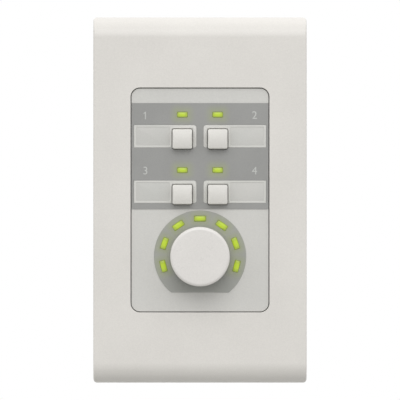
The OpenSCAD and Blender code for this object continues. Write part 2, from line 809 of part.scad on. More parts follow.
module ring_light_guide() {
    half = ring_lamp_h / 2 + lamp_lip;
    last = ring_angle(ring_count - 1) + ring_step / 3;
    color("#b4c456") on_wall() {
        slab(z_foot, z_film) at_ring() ring_lamp_outline();
        difference() {
            slab(z_seat, z_inside) translate([0, -dial_y]) difference() {
                circle(ring_r + half);
                circle(ring_r - half);
                polygon([[0, 0], 3 * ring_r * [sin(last), cos(last)], [3 * ring_r, -3 * ring_r],
                    [-3 * ring_r, -3 * ring_r], 3 * ring_r * [-sin(last), cos(last)]]);
            }
            slab(z_seat - over, z_inside + over) for (s = [-1, 1]) stake_place(s)
                circle(d = stake_d + 2 * lamp_gap);
        }
    }
}

// Lamp chip: white body with a raised lens
module lamp_chip() {
    size = [chip_lamp_l, chip_lamp_w];
    slab(z_board, z_board + chip_lamp_h - chip_lens_step) square(size, center = true);
    slab(z_board, z_board + chip_lamp_h)
        square(size - 2 * chip_lens_step * [1, 1], center = true);
}

module key_lamps() {
    color("#f0efe6") on_wall() at_keys(lamp_rise) lamp_chip();
}

module ring_lamps() {
    color("#f0efe6") on_wall() at_ring() lamp_chip();
}

// Dial and encoder

// Round section with a flat on its upper side
module d_section(grow) {
    intersection() {
        circle(shaft_d / 2 + grow);
        translate([-shaft_d, -shaft_d]) square([2 * shaft_d, 1.5 * shaft_d - shaft_flat + grow]);
    }
}

module knob() {
    r = knob_d / 2;
    top = z_knob + knob_h;
    rib_foot = z_shaft - shaft_flat_l;
    color("#d8d5d1") on_wall() translate([0, -dial_y, 0]) {
        difference() {
            rotate_extrude($fn = 180) difference() {
                translate([0, z_knob]) square([r, knob_h]);
                translate([r - knob_edge_r, top - knob_edge_r]) difference() {
                    square(2 * knob_edge_r);
                    circle(knob_edge_r);
                }
            }
            slab(z_knob - over, top - knob_wall) circle(r - knob_wall);
            for (i = [0:groove_count - 1]) rotate((i + 0.5) * 360 / groove_count)
                translate([r + groove_r / 3, 0, z_knob - over])
                    cylinder(r = groove_r, h = over + knob_h - knob_edge_r - knob_band);
        }
        difference() {
            union() {
                slab(z_knob + knob_gap, top - knob_wall + join) circle(d = knob_hub_d);
                for (i = [0:knob_ribs - 1]) rotate((i + 0.5) * 360 / knob_ribs)
                    translate([0, -knob_rib_t / 2, rib_foot])
                        cube([r - knob_wall / 2, knob_rib_t, top - knob_wall + join - rib_foot]);
            }
            slab(z_shaft - shaft_flat_l, z_shaft + knob_gap / 2) d_section(bore_clear);
            slab(z_knob, z_shaft - shaft_flat_l + bore_clear) circle(d = bush_d + 2 * bush_gap);
        }
    }
}

module encoder_shaft() {
    foot = z_encoder - plunger_gap;
    color("#bfc2c4") on_wall() translate([0, -dial_y, 0]) {
        slab(foot - cover_t, z_shaft - shaft_flat_l) circle(d = shaft_d);
        slab(z_shaft - shaft_flat_l - join, z_shaft) d_section(0);
        slab(foot - cover_t, foot) circle(collar_r);
    }
}

// Die-cast cover with the bush that carries the shaft, and a lug on each side
module encoder_bush() {
    color("#a7aaad") on_wall() translate([0, -dial_y, 0]) {
        difference() {
            union() {
                slab(z_encoder, z_cover) rounded_rect(encoder_w + 2 * cover_t, encoder_w, 0.5);
                slab(z_encoder, z_cover + bush_h) circle(d = bush_d);
            }
            slab(z_encoder - over, z_cover + bush_h + over) circle(shaft_d / 2 + shaft_clear);
        }
        for (s = [0, 1]) mirror([s, 0]) translate([encoder_w / 2, -lug_w / 2, z_back - pin_tail])
            cube([cover_t, lug_w, z_cover - z_back + pin_tail]);
    }
}

module encoder_base() {
    color("#3b3f45") on_wall() translate([0, -dial_y, 0]) difference() {
        slab(z_board, z_encoder) rounded_rect(encoder_w, encoder_w, 0.5);
        slab(z_encoder - cover_t - 3 * plunger_gap, z_encoder + over) circle(collar_r + plunger_gap);
    }
}

module at_encoder_pins() {
    for (x = [-encoder_pin_x, 0, encoder_pin_x]) translate([x, -dial_y - encoder_row]) children();
    for (x = [-encoder_pin_x, encoder_pin_x]) translate([x, -dial_y + encoder_row]) rotate(180) children();
}

module encoder_pins() {
    color("#c9c2a5") on_wall() at_encoder_pins() rotate([90, 0, 90]) linear_extrude(pin_w, center = true) {
        translate([-pin_t / 2, z_back - pin_tail]) square([pin_t, encoder_h / 2 + board_t + pin_tail]);
        translate([-pin_t / 2, z_board + encoder_h / 2 - pin_t])
            square([encoder_row - encoder_w / 2 + pin_t / 2, pin_t]);
    }
}

// Circuit board

module at_jacks() {
    for (s = [-1, 1]) translate([s * jack_pitch / 2, 0]) children();
}

module at_contacts() {
    for (i = [0:contact_count - 1]) translate([(i - (contact_count - 1) / 2) * contact_pitch, 0]) children();
}

module main_board() {
    color("#2f6b46") on_wall() slab(z_back, z_board) difference() {
        rounded_rect(board_w, board_h, board_r);
        four(board_screw_x, board_screw_y) circle(d = board_screw_d + 2 * screw_pass);
        at_encoder_pins() circle(d = pin_w + 2 * screw_pass);
        for (s = [-1, 1]) translate([s * lug_x, -dial_y])
            square([cover_t + 2 * screw_pass, lug_w + 2 * screw_pass], center = true);
        at_jacks() at_contacts() translate([0, contact_y]) circle(d = contact_w + 2 * screw_pass);
    }
}

module board_screws() {
    color("#b9bcc0") on_wall() four(board_screw_x, board_screw_y) translate([0, 0, z_back])
        pan_screw(board_screw_d, board_screw_l);
}

// Flat chip with gull-wing legs along its two or four sides
module leaded_chip(w, h, t, legs, pitch, sides) {
    lift = 0.1;
    slab(z_back - t, z_back - lift) rounded_rect(w, h, 0.2);
    for (k = [0:sides - 1]) rotate(k * 360 / sides) for (i = [0:legs - 1])
        translate([0, (i - (legs - 1) / 2) * pitch, 0]) rotate([90, 0, 0])
        linear_extrude(pitch / 2, center = true) {
            translate([w / 2 - lift, z_back - t / 2]) square([3 * lift, 1.5 * lift]);
            translate([w / 2 + lift, z_back - t / 2]) square([1.5 * lift, t / 2]);
            translate([w / 2 + lift, z_back - 1.5 * lift]) square([5 * lift, 1.5 * lift]);
        }
}

module controller_chip() {
    color("#26272a") on_wall() translate([chip_edge - board_w / 2, -dial_y, 0])
        leaded_chip(controller_w, controller_w, controller_t, controller_legs, controller_pitch, 4);
}

module driver_chip() {
    color("#26272a") on_wall() translate([board_w / 2 - chip_edge, -dial_y, 0])
        leaded_chip(driver_w, driver_h, driver_t, 4, driver_pitch, 2);
}

// Small capacitors and thinner resistors on the back of the board, one row above the encoder and one above
// the jacks
module board_passives() {
    rows = [-dial_y + encoder_row + passive_gap, jack_y + jack_h / 2 + passive_gap];
    color("#b79a6c") on_wall() for (i = [-3:3], row = rows) translate([i * passive_pitch, row, 0])
        slab(z_back - (i % 2 == 0 ? passive_h : passive_h * 2 / 3), z_back)
            square([passive_w, passive_l], center = true);
}

// Rear case

// Stepped outline of the case: shallow all over, and deep over the jacks
module stepped_case(w, h, r, grow, to) {
    slab(-case_shallow - grow, to) rounded_rect(w, h, r);
    slab(-case_deep - grow, to) intersection() {
        rounded_rect(w, h, r);
        translate([-w / 2, case_step_y - grow]) square([w, h]);
    }
}

module rear_case() {
    color("#34363a") on_wall() difference() {
        union() {
            stepped_case(case_w, case_h, case_r, 0, 0);
            slab(-case_tab_t, 0) {
                four(case_screw_pitch / 2, case_screw_y) circle(d = case_boss_d);
                four(case_screw_pitch / 2, case_screw_y / 2 + case_in_h / 4)
                    square([case_boss_d, case_screw_y - case_in_h / 2], center = true);
            }
        }
        stepped_case(case_in_w, case_in_h, case_r / 2, -case_wall, over);
        slab(-case_tab_t - over, over) four(case_screw_pitch / 2, case_screw_y)
            circle(d = case_screw_d + 2 * screw_pass);
        slab(-case_deep - over, -case_wall) at_jacks() translate([0, jack_y])
            square([jack_w + 2 * jack_gap, jack_h + 2 * jack_gap], center = true);
        slab(-case_shallow - over, -case_wall) translate([0, -dip_y])
            square([dip_w + 2 * dip_gap, dip_h + 2 * dip_gap], center = true);
        if (vent_count > 0) for (i = [0:vent_count - 1])
            translate([0, jack_y + (i - (vent_count - 1) / 2) * vent_pitch, -case_deep / 2 - case_wall])
                cube([case_w + 2 * over, vent_w, vent_l], center = true);
    }
}

module case_screws() {
    color("#b9bcc0") on_wall() four(case_screw_pitch / 2, case_screw_y) translate([0, 0, -case_tab_t])
        pan_screw(case_screw_d, case_screw_l);
}

module jack(side) {
    color("#2a2b2e") on_wall() translate([side * jack_pitch / 2, 0, 0]) difference() {
        slab(z_jack, z_back) translate([0, jack_y]) rounded_rect(jack_w, jack_h, 0.4);
        slab(z_jack - over, z_jack + port_d) translate([0, port_y]) {
            square([port_w, port_h], center = true);
            translate([-latch_w / 2, 0]) square([latch_w, port_h / 2 + latch_h]);
        }
        slab(z_jack + contact_t, z_back + over) translate([-comb_w / 2, contact_y - comb_h / 2])
            square([comb_w, comb_h + join]);
    }
}

// Springs of one jack: each comes down through the board, turns round and leans into the port
module contact_row() {
    turn = z_jack + 3 * contact_t;
    reach = port_d * 0.62;
    at_contacts() rotate([90, 0, 90]) linear_extrude(contact_w, center = true) {
        translate([contact_y - contact_t / 2, turn]) square([contact_t, z_board + pin_tail - turn]);
        translate([contact_y, turn]) rotate(-contact_lean)
            translate([-contact_t / 2, 0]) square([contact_t, reach]);
        translate([contact_y, turn]) circle(d = contact_t);
    }
}

module jack_contacts() {
    color("#c9a84a") on_wall() at_jacks() contact_row();
}

// Switch bank

module dip_body() {
    color("#2a4f86") on_wall() translate([0, -dip_y, 0]) difference() {
        slab(z_dip, z_back) rounded_rect(dip_w, dip_h, 0.3);
        for (i = [1:dip_count]) slab(z_dip - over, z_dip + slider_bed) translate([dip_x(i), 0])
            square([slider_w + 2 * slider_gap, slider_l + slider_travel + 2 * slider_gap], center = true);
    }
}

module dip_slider(i) {
    color("#e6e4dc") on_wall() translate([dip_x(i), -dip_y - slider_travel / 2, 0])
        slab(z_dip - slider_proud, z_dip + slider_bed - slider_gap)
            square([slider_w, slider_l], center = true);
}

module key_1() { key_piece(1); }
module key_2() { key_piece(2); }
module key_3() { key_piece(3); }
module key_4() { key_piece(4); }
module plunger_1() { plunger(1); }
module plunger_2() { plunger(2); }
module plunger_3() { plunger(3); }
module plunger_4() { plunger(4); }
module jack_1() { jack(1); }
module jack_2() { jack(-1); }
module dip_slider_1() { dip_slider(1); }
module dip_slider_2() { dip_slider(2); }
module dip_slider_3() { dip_slider(3); }
module dip_slider_4() { dip_slider(4); }
module dip_slider_5() { dip_slider(5); }
module dip_slider_6() { dip_slider(6); }

wall_plate();
sub_frame();
frame_screws();
mounting_yoke();
front_bezel();
key_film();
dial_film();
key_1();
key_2();
key_3();
key_4();
key_light_pipes();
ring_light_guide();
knob();
encoder_shaft();
encoder_bush();
encoder_base();
encoder_pins();
plunger_1();
plunger_2();
plunger_3();
plunger_4();
switch_housings();
switch_covers();
key_lamps();
ring_lamps();
main_board();
board_screws();
controller_chip();
driver_chip();
board_passives();
rear_case();
case_screws();
jack_1();
jack_2();
jack_contacts();
dip_body();
dip_slider_1();
dip_slider_2();
dip_slider_3();
dip_slider_4();
dip_slider_5();
dip_slider_6();
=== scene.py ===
"""Audio zone control panel: finishes, small pieces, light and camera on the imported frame.

The panel hangs upright with its front along -Y and +Z up. Sizes are millimetres times MM.
"""

import json
import math

import bmesh
import bpy
from mathutils import Matrix, Vector

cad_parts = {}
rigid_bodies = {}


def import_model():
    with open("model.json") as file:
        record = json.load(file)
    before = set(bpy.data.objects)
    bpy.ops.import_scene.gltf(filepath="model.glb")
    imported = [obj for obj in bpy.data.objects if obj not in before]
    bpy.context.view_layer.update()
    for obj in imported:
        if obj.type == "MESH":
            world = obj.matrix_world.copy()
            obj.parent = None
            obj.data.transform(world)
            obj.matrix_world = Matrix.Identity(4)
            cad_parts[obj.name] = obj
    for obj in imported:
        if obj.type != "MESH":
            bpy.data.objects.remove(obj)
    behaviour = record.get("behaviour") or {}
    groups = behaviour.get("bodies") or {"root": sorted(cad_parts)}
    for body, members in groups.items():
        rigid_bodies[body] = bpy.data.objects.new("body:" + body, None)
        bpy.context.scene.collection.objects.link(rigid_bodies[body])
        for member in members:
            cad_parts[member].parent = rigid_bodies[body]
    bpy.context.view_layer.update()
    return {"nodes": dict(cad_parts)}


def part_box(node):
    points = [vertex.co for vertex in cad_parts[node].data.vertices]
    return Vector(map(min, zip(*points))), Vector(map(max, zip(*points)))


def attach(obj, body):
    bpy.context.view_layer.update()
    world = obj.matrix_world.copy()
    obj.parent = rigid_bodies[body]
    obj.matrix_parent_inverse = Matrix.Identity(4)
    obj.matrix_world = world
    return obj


for leftover in list(bpy.data.objects):
    bpy.data.objects.remove(leftover)

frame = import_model()
cad = frame["nodes"]
scene = bpy.context.scene

MM = 0.001
ROOT = "panel"

# Flat pieces are drawn in x and y, facing z, then turned to the front or the back of the panel
FRONT = Matrix.Rotation(math.radians(90), 4, "X")
BACK = Matrix.Rotation(math.pi, 4, "Z") @ FRONT

# Levels of the front, measured out of the wall, and of the back, measured into it
FILM_LEVEL = -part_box("key_film")[0].y
BEZEL_LEVEL = -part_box("front_bezel")[0].y
CASE_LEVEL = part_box("rear_case")[1].y
DIP_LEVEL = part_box("dip_body")[1].y

# Rows of like nodes
KEYS = ("key_1", "key_2", "key_3", "key_4")
PLUNGERS = ("plunger_1", "plunger_2", "plunger_3", "plunger_4")
JACKS = ("jack_1", "jack_2")
SLIDERS = tuple("dip_slider_%d" % number for number in range(1, 7))

# Keys and their lamps
KEY_CAP = 6.5 * MM
KEY_REVEAL = 0.24 * MM
LAMP_RISE = 8.0 * MM
KEY_LAMP = (3.36 * MM, 1.76 * MM)
LAMP_CORNER = 0.42 * MM
LAMP_DOME = 0.28 * MM
LAMP_SEAT = 0.06 * MM

# How a lens closes: the share of its half width that it rises over, how fast its corners
# tighten on the way up, its smallest corner, and the half width left at its crest
DOME_RUN = 0.96
DOME_TIGHTENING = 0.3
DOME_CORNER = 0.02 * MM
DOME_CREST = 0.005 * MM

# Label fields
LABEL_WEB = 2.2 * MM
LABEL_LENGTH = 20.6 * MM
LABEL_HEIGHT = 7.5 * MM
LABEL_RISE = 0.9 * MM
LABEL_CORNER = 0.9 * MM
RIM_WIDTH = 0.62 * MM
RIM_RISE = 0.15 * MM
RIM_SLIT = 0.07 * MM
RIM_ROUND = 0.05 * MM
STRIP_RISE = 0.05 * MM

# Dial lamps
RING_RADIUS = 12.4 * MM
RING_STEP = math.radians(35)
RING_COUNT = 7
RING_LAMP = (3.86 * MM, 1.81 * MM)

# Printed and moulded figures
ZONE_DIGIT_HEIGHT = 2.5 * MM
ZONE_DIGIT_REACH = 17.9 * MM
ZONE_DIGIT_DROP = 0.3 * MM
INK_DEPTH = 0.03 * MM
DIP_DIGIT_HEIGHT = 0.95 * MM
DIP_DIGIT_RISE = 0.78 * MM
DIP_WORD_DROP = 0.75 * MM
DIP_WORD_SHIFT = 0.4 * MM
PORT_DIGIT_HEIGHT = 3.2 * MM
PORT_DIGIT_LIFT = 4.6 * MM
MOULDED_RISE = 0.3 * MM

# The built-in font: height of its capitals and width of its strokes, as shares of its size and of a
# figure's height, and the flag of the 1 that is drawn instead of its own
FONT_RISE = 0.69
FONT_STROKE = 0.144
FONT_STEPS = 6
FLAG_REACH = 0.25
FLAG_DROP = 0.2
FLAG_THICKNESS = 1.6

# Edges of the meshes
WELD_DISTANCE = 0.001 * MM
ROUND_STEPS = 3
SHARP_ANGLE = math.radians(35)
RIM_ANGLE = math.radians(60)
BEVEL_ANGLE = math.radians(40)
FLAT_ANGLE = math.radians(0.2)
NORMAL_WEIGHT = 80


# Small helpers


def srgb(red, green, blue):
    """A colour written as it should look on screen, from 0 to 255, as linear values."""
    def linear(value):
        share = value / 255
        return share / 12.92 if share <= 0.04045 else ((share + 0.055) / 1.055) ** 2.4

    return (linear(red), linear(green), linear(blue), 1.0)


def middle(node):
    """The middle of a node's box."""
    low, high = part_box(node)
    return (low + high) / 2


def arc_loop(corners, steps=6):
    """A closed outline from corners (x, y, radius), with each corner rounded by an arc."""
    points = []
    for index, (x, y, radius) in enumerate(corners):
        here = Vector((x, y))
        before = Vector(corners[index - 1][:2]) - here
        after = Vector(corners[(index + 1) % len(corners)][:2]) - here
        if radius <= 0:
            points.append(here)
            continue
        before.normalize()
        after.normalize()
        half = before.angle(after) / 2
        centre = here + (before + after).normalized() * radius / math.sin(half)
        start = here + before * radius / math.tan(half) - centre
        end = here + after * radius / math.tan(half) - centre
        turn = start.angle_signed(end)
        for step in range(steps + 1):
            points.append(centre + Matrix.Rotation(-turn * step / steps, 2) @ start)
    return points


def rectangle(width, height, radius):
    """Corners of a rounded rectangle about the origin, for arc_loop."""
    x, y = width / 2, height / 2
    return [(x, -y, radius), (x, y, radius), (-x, y, radius), (-x, -y, radius)]


def ring_of(bm, points, level):
    """A closed ring of vertices at one level, as a list."""
    return [bm.verts.new((point[0], point[1], level)) for point in points]


def add_piece(name, mesh, matrix, material):
    """Puts a mesh into the scene as a smooth-shaded piece that rides on the panel."""
    mesh.transform(matrix)
    mesh.materials.append(material)
    for face in mesh.polygons:
        face.use_smooth = True
    mesh.set_sharp_from_angle(angle=SHARP_ANGLE)
    piece = bpy.data.objects.new(name, mesh)
    scene.collection.objects.link(piece)
    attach(piece, ROOT)


def mesh_from(bm, name):
    """Closes a bmesh into a mesh with outward normals."""
    bmesh.ops.recalc_face_normals(bm, faces=bm.faces)
    mesh = bpy.data.meshes.new(name)
    bm.to_mesh(mesh)
    bm.free()
    return mesh


def flat_plate(name, loops, foot, rise, rounding):
    """A thin plate with the outline loops[0] and holes loops[1:], whose upper edges are rounded."""
    bm = bmesh.new()
    for loop in loops:
        ring = ring_of(bm, loop, foot)
        for first, second in zip(ring, ring[1:] + ring[:1]):
            bm.edges.new((first, second))
    bmesh.ops.triangle_fill(bm, use_beauty=True, use_dissolve=True, edges=bm.edges)
    raised = bmesh.ops.extrude_face_region(bm, geom=list(bm.faces), use_keep_orig=True)
    top = [item for item in raised["geom"] if isinstance(item, bmesh.types.BMVert)]
    bmesh.ops.translate(bm, verts=top, vec=(0, 0, rise))
    bmesh.ops.recalc_face_normals(bm, faces=bm.faces)
    top = set(top)
    rim = [edge for edge in bm.edges if set(edge.verts) <= top and edge.calc_face_angle(0) > RIM_ANGLE]
    bmesh.ops.bevel(bm, geom=rim, offset=rounding, segments=ROUND_STEPS, profile=0.5, affect="EDGES")
    return mesh_from(bm, name)


def dome(name, width, height, corner, rise, seat, rings=7):
    """A domed lens with a rounded outline and a foot that reaches a little into its seat."""
    bm = bmesh.new()
    levels = [(0.0, -seat)]
    for step in range(rings + 1):
        lean = math.pi / 2 * step / rings
        levels.append((height / 2 * DOME_RUN * (1 - math.cos(lean)), rise * math.sin(lean)))
    stack = []
    for inset, level in levels:
        radius = max(corner - DOME_TIGHTENING * inset, DOME_CORNER)
        radius = min(radius, height / 2 - inset - DOME_CREST)
        outline = arc_loop(rectangle(width - 2 * inset, height - 2 * inset, radius))
        stack.append(ring_of(bm, outline, level))
    for lower, upper in zip(stack, stack[1:]):
        for index in range(len(lower)):
            bm.faces.new((lower[index - 1], lower[index], upper[index], upper[index - 1]))
    bm.faces.new(stack[0])
    bm.faces.new(stack[-1])
    return mesh_from(bm, name)


def lettering(name, words, height, depth):
    """Words as a thin solid mesh, centred on the origin."""
    curve = bpy.data.curves.new(name, "FONT")
    curve.body = words
    curve.align_x = "CENTER"
    curve.align_y = "CENTER"
    curve.size = height / FONT_RISE
    curve.extrude = depth / 2
    curve.resolution_u = FONT_STEPS
    holder = bpy.data.objects.new(name, curve)
    scene.collection.objects.link(holder)
    bpy.context.view_layer.update()
    mesh = bpy.data.meshes.new_from_object(holder)
    bpy.data.objects.remove(holder)
    bpy.data.curves.remove(curve)
    mesh.materials.clear()
    bm = bmesh.new()
    bm.from_mesh(mesh)
    bmesh.ops.remove_doubles(bm, verts=bm.verts, dist=WELD_DISTANCE)
    bm.to_mesh(mesh)
    bm.free()
    return mesh


def figure(name, number, height, depth):
    """A figure as a thin solid; the 1 is drawn here with a flag, which the built-in font's 1 lacks."""
    if number != 1:
        return lettering(name, str(number), height, depth)
    half, top = FONT_STROKE * height / 2, height / 2
    flag, tip = FLAG_REACH * height, top - FLAG_DROP * height
    outline = [
        (half, -top), (half, top), (-half / 2, top), (-flag, tip), (-flag, tip - FLAG_THICKNESS * half),
        (-half, tip), (-half, -top)]
    return flat_plate(name, [outline], -depth / 2, depth, depth / 4)


# Shader graph helpers


def add(tree, kind, values=None, **settings):
    """Adds a shader node. Values are numbers or the outputs of other nodes, by socket name or number."""
    node = tree.nodes.new("ShaderNode" + kind)
    for key, value in settings.items():
        setattr(node, key, value)
    for socket, value in (values or {}).items():
        if isinstance(value, bpy.types.NodeSocket):
            tree.links.new(value, node.inputs[socket])
        else:
            node.inputs[socket].default_value = value
    return node


def blend_colours(tree, factor, first, second, mode="MIX"):
    """The colour output of a mix of two colours."""
    node = add(tree, "Mix", {0: factor, 6: first, 7: second}, data_type="RGBA", blend_type=mode)
    return node.outputs[2]


def sums(tree, operation, first, second=0.0, clamp=False):
    """The output of one sum on one or two values."""
    node = add(tree, "Math", {0: first, 1: second}, operation=operation, use_clamp=clamp)
    return node.outputs[0]


def weighted(tree, first, second, share):
    """Two values added, the first by a share and the second by the rest."""
    first_part = sums(tree, "MULTIPLY", first, share)
    return sums(tree, "ADD", first_part, sums(tree, "MULTIPLY", second, 1 - share))


def reach_of(tree, across, up):
    """The length of a step across and a step up."""
    squares = sums(tree, "ADD", sums(tree, "MULTIPLY", across, across), sums(tree, "MULTIPLY", up, up))
    return sums(tree, "SQRT", squares)


def spread(tree, value, low, high, to_low=0.0, to_high=1.0):
    """A value stretched from one range to another."""
    node = add(tree, "MapRange", {0: value, 1: low, 2: high, 3: to_low, 4: to_high})
    return node.outputs[0]


def noise(tree, place, scale, detail=2.0, rough=0.5):
    """The value of a noise texture."""
    node = add(tree, "TexNoise", {"Vector": place, "Scale": scale, "Detail": detail, "Roughness": rough})
    return node.outputs[0]


def new_group(name, inputs, outputs):
    """An empty shader group with named sockets, its input node and its output node."""
    tree = bpy.data.node_groups.new(name, "ShaderNodeTree")
    for socket, kind in inputs:
        tree.interface.new_socket(socket, in_out="INPUT", socket_type="NodeSocket" + kind)
    for socket, kind in outputs:
        tree.interface.new_socket(socket, in_out="OUTPUT", socket_type="NodeSocket" + kind)
    return tree, tree.nodes.new("NodeGroupInput").outputs, tree.nodes.new("NodeGroupOutput").inputs


def seen_rays(tree):
    """1 for rays from the camera or by way of gloss or glass, and 0 for all others."""
    path = add(tree, "LightPath").outputs
    seen = sums(tree, "MAXIMUM", path["Is Camera Ray"], path["Is Glossy Ray"])
    return sums(tree, "MAXIMUM", seen, path["Is Transmission Ray"])


# Finish groups

FINISH_OUT = (("Color", "Color"), ("Roughness", "Float"), ("Height", "Float"))

# Bands in which most values of a noise lie
NOISE_BODY = (0.35, 0.65)
NOISE_SPAN = (0.3, 0.7)

# Scales of the textures, in cells per metre
SKIN_DRIFT = 55.0
SKIN_SPECK = 2600.0
SKIN_MARKS = 140.0
SKIN_SHINE = 900.0
SKIN_RIPPLE = 320.0
PLATING_SPANGLE = 420.0
PLATING_CLOUD = 160.0
INK_DRIFT = 90.0
INK_SPECK = 3800.0
INK_PEEL = 1500.0
LENS_HAZE = 1800.0
BOARD_TRACKS = 260.0
BOARD_VIAS = 330.0

# Bands of a texture's value over which an effect sets in
MARKS_BAND = (0.4, 0.75)
CLOUD_BAND = (0.3, 0.75)
RUB_BAND = (0.25, 0.75)
GLOW_BAND = (0.45, 1.15)
TRACK_BAND = (0.05, 0.09)
VIA_BAND = (0.1, 0.14)

# How much textures change a tone, as factors, and a roughness, as added values
SKIN_SPECK_TONE = (0.97, 1.02)
STREAK_TONE = (0.92, 1.05)
INK_SPECK_TONE = (0.955, 1.035)
SHINE_SWING = (-0.03, 0.03)
RUB_SWING = (-0.08, 0.1)
INK_SWING = (-0.04, 0.05)
TRACK_DULLING = 0.12

# Shares of grain in a skin's height, of noise in a plating cloud and of haze in a lens
GRAIN_SHARE = 0.6
CLOUD_SHARE = 0.6
HAZE_SHARE = 0.12

# The middle of a lens's box, and how fast its glow fades from there along width, depth and height
GLOW_MIDDLE = (0.5, 0.5, 0.5)
GLOW_FALL = (1.7, 0.0, 2.0)


def make_moulded_skin():
    """Moulded plastic: slow drifts of tone, fine spark-eroded grain and faint handling marks."""
    tree, given, result = new_group(
        "moulded_skin",
        (("Color", "Color"), ("Tint", "Color"), ("Grain Scale", "Float"), ("Roughness", "Float"),
         ("Smudge", "Float")),
        FINISH_OUT)
    place = add(tree, "TexCoord").outputs["Object"]
    drift = spread(tree, noise(tree, place, SKIN_DRIFT, 3.0), *NOISE_BODY)
    speck = spread(tree, noise(tree, place, SKIN_SPECK, 1.0), *NOISE_SPAN, *SKIN_SPECK_TONE)
    tone = blend_colours(tree, drift, given["Color"], given["Tint"])
    tree.links.new(blend_colours(tree, 1.0, tone, speck, "MULTIPLY"), result["Color"])
    marks = spread(tree, noise(tree, place, SKIN_MARKS, 4.0, 0.7), *MARKS_BAND)
    smudge = sums(tree, "MULTIPLY", marks, given["Smudge"])
    shine = spread(tree, noise(tree, place, SKIN_SHINE), *NOISE_SPAN, *SHINE_SWING)
    grained = sums(tree, "ADD", given["Roughness"], shine)
    tree.links.new(sums(tree, "ADD", grained, smudge, clamp=True), result["Roughness"])
    cells = {"Vector": place, "Scale": given["Grain Scale"]}
    grain = add(tree, "TexVoronoi", cells, feature="SMOOTH_F1").outputs[0]
    ripple = noise(tree, place, SKIN_RIPPLE)
    tree.links.new(weighted(tree, grain, ripple, GRAIN_SHARE), result["Height"])
    return tree


def make_sheet_grain():
    """Plated or drawn metal: fine lines along one way, pale plating clouds and a few rub marks."""
    tree, given, result = new_group(
        "sheet_grain",
        (("Color", "Color"), ("Tint", "Color"), ("Line Scale", "Vector"), ("Roughness", "Float")),
        FINISH_OUT)
    place = add(tree, "TexCoord").outputs["Object"]
    lines_place = add(tree, "Mapping", {"Vector": place, "Scale": given["Line Scale"]}).outputs[0]
    lines = noise(tree, lines_place, 1.0, 3.0, 0.6)
    spangle = add(tree, "TexVoronoi", {"Vector": place, "Scale": PLATING_SPANGLE}).outputs["Color"]
    grey = add(tree, "RGBToBW", {0: spangle}).outputs[0]
    cloud = weighted(tree, noise(tree, place, PLATING_CLOUD, 4.0), grey, CLOUD_SHARE)
    tone = blend_colours(tree, spread(tree, cloud, *CLOUD_BAND), given["Color"], given["Tint"])
    streak = spread(tree, lines, *NOISE_SPAN, *STREAK_TONE)
    tree.links.new(blend_colours(tree, 1.0, tone, streak, "MULTIPLY"), result["Color"])
    rub = spread(tree, lines, *RUB_BAND, *RUB_SWING)
    tree.links.new(sums(tree, "ADD", given["Roughness"], rub, clamp=True), result["Roughness"])
    tree.links.new(lines, result["Height"])
    return tree


def make_printed_film():
    """Screen-printed film: dense ink with a fine matt texture and a faint orange peel."""
    tree, given, result = new_group(
        "printed_film", (("Color", "Color"), ("Tint", "Color"), ("Roughness", "Float")), FINISH_OUT)
    place = add(tree, "TexCoord").outputs["Object"]
    drift = spread(tree, noise(tree, place, INK_DRIFT, 3.0), *NOISE_BODY)
    speck = spread(tree, noise(tree, place, INK_SPECK, 2.0, 0.7), *NOISE_SPAN, *INK_SPECK_TONE)
    tone = blend_colours(tree, drift, given["Color"], given["Tint"])
    tree.links.new(blend_colours(tree, 1.0, tone, speck, "MULTIPLY"), result["Color"])
    dulled = spread(tree, drift, 0.0, 1.0, *INK_SWING)
    tree.links.new(sums(tree, "ADD", given["Roughness"], dulled, clamp=True), result["Roughness"])
    tree.links.new(noise(tree, place, INK_PEEL), result["Height"])
    return tree


def make_lamp_glow():
    """A lit lens: brightest in its middle, where the light pipe ends, and duller at its rim."""
    tree, given, result = new_group(
        "lamp_glow", (("Core", "Color"), ("Rim", "Color")), (("Color", "Color"),))
    place = add(tree, "TexCoord").outputs
    off = add(tree, "VectorMath", {0: place["Generated"], 1: GLOW_MIDDLE}, operation="SUBTRACT")
    flat = add(tree, "VectorMath", {0: off.outputs[0], 1: GLOW_FALL}, operation="MULTIPLY")
    reach = add(tree, "VectorMath", {0: flat.outputs[0]}, operation="LENGTH").outputs["Value"]
    haze = sums(tree, "MULTIPLY", noise(tree, place["Object"], LENS_HAZE, 1.0), HAZE_SHARE)
    fade = spread(tree, sums(tree, "ADD", reach, haze), *GLOW_BAND)
    tree.links.new(blend_colours(tree, fade, given["Core"], given["Rim"]), result["Color"])
    return tree


def make_solder_mask():
    """Circuit board: solder mask over tracks that run in straight lines, with vias between them."""
    tree, given, result = new_group(
        "solder_mask", (("Color", "Color"), ("Track", "Color"), ("Roughness", "Float")), FINISH_OUT)
    place = add(tree, "TexCoord").outputs["Object"]
    maze = add(
        tree, "TexVoronoi", {"Vector": place, "Scale": BOARD_TRACKS}, distance="CHEBYCHEV",
        feature="DISTANCE_TO_EDGE").outputs[0]
    track = spread(tree, maze, *TRACK_BAND, 1.0, 0.0)
    vias = add(tree, "TexVoronoi", {"Vector": place, "Scale": BOARD_VIAS}, feature="F1").outputs[0]
    hole = spread(tree, vias, *VIA_BAND, 1.0, 0.0)
    copper = sums(tree, "MAXIMUM", track, hole)
    tree.links.new(blend_colours(tree, copper, given["Color"], given["Track"]), result["Color"])
    dulled = sums(tree, "MULTIPLY", copper, TRACK_DULLING)
    tree.links.new(sums(tree, "ADD", given["Roughness"], dulled, clamp=True), result["Roughness"])
    tree.links.new(copper, result["Height"])
    return tree


MOULDED = make_moulded_skin()
SHEET = make_sheet_grain()
FILM = make_printed_film()
GLOW = make_lamp_glow()
MASK = make_solder_mask()


# Materials

